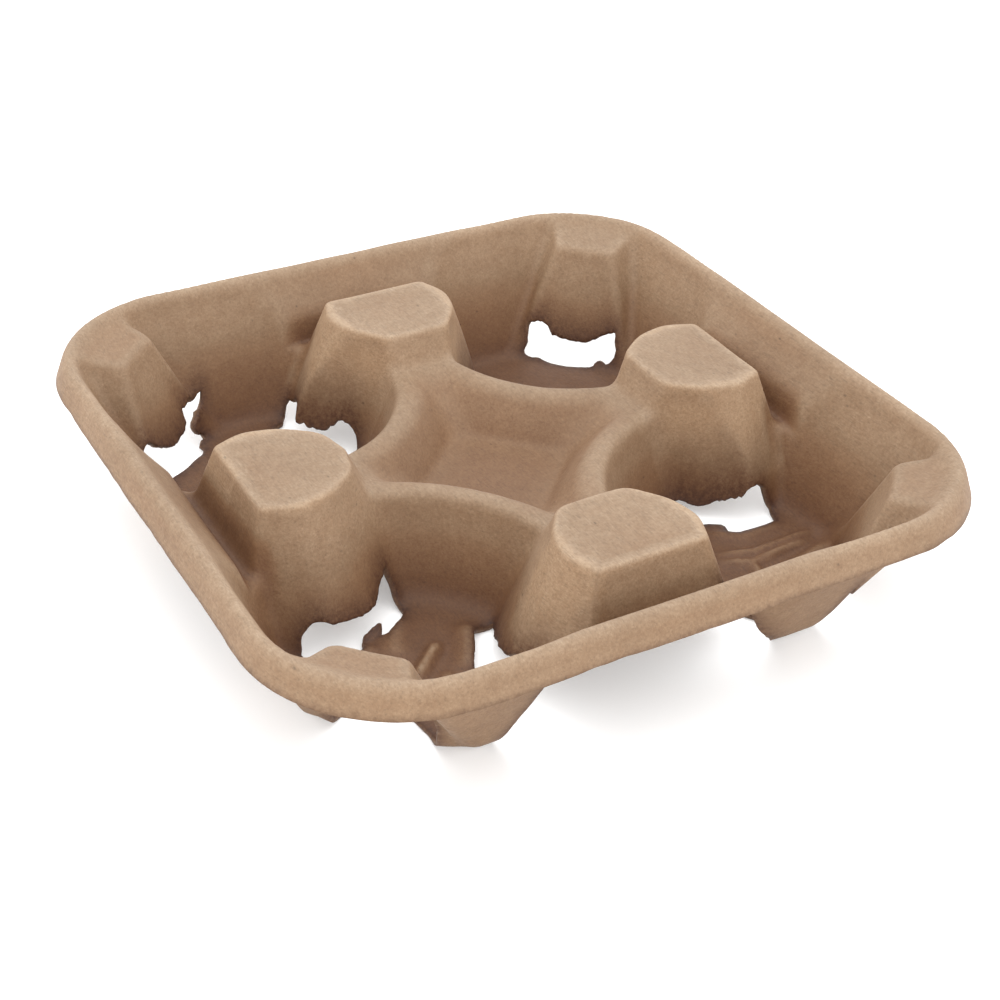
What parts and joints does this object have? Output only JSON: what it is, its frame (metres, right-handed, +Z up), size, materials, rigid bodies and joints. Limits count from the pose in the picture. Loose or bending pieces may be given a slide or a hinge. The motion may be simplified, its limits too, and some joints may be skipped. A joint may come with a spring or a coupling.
{
  "type": "moulded pulp cup carrier tray",
  "caption": "Square moulded paper pulp carrier tray with round cup wells in its corners, flat-topped pillars between them, a square recess in the middle and a turned-down rim.",
  "frame": {"origin": "centre of the tray, on the table that its four feet stand on", "axes": "+Z up, X and Y along the sides of the rim"},
  "size_m": [0.215, 0.215, 0.0445],
  "materials": {
    "pulp": "moulded recycled paper pulp, brown, matt and slightly fuzzy, with fine dark fibre flecks"
  },
  "bodies": {
    "root": {"tray": "pulp"}
  },
  "joints": []
}
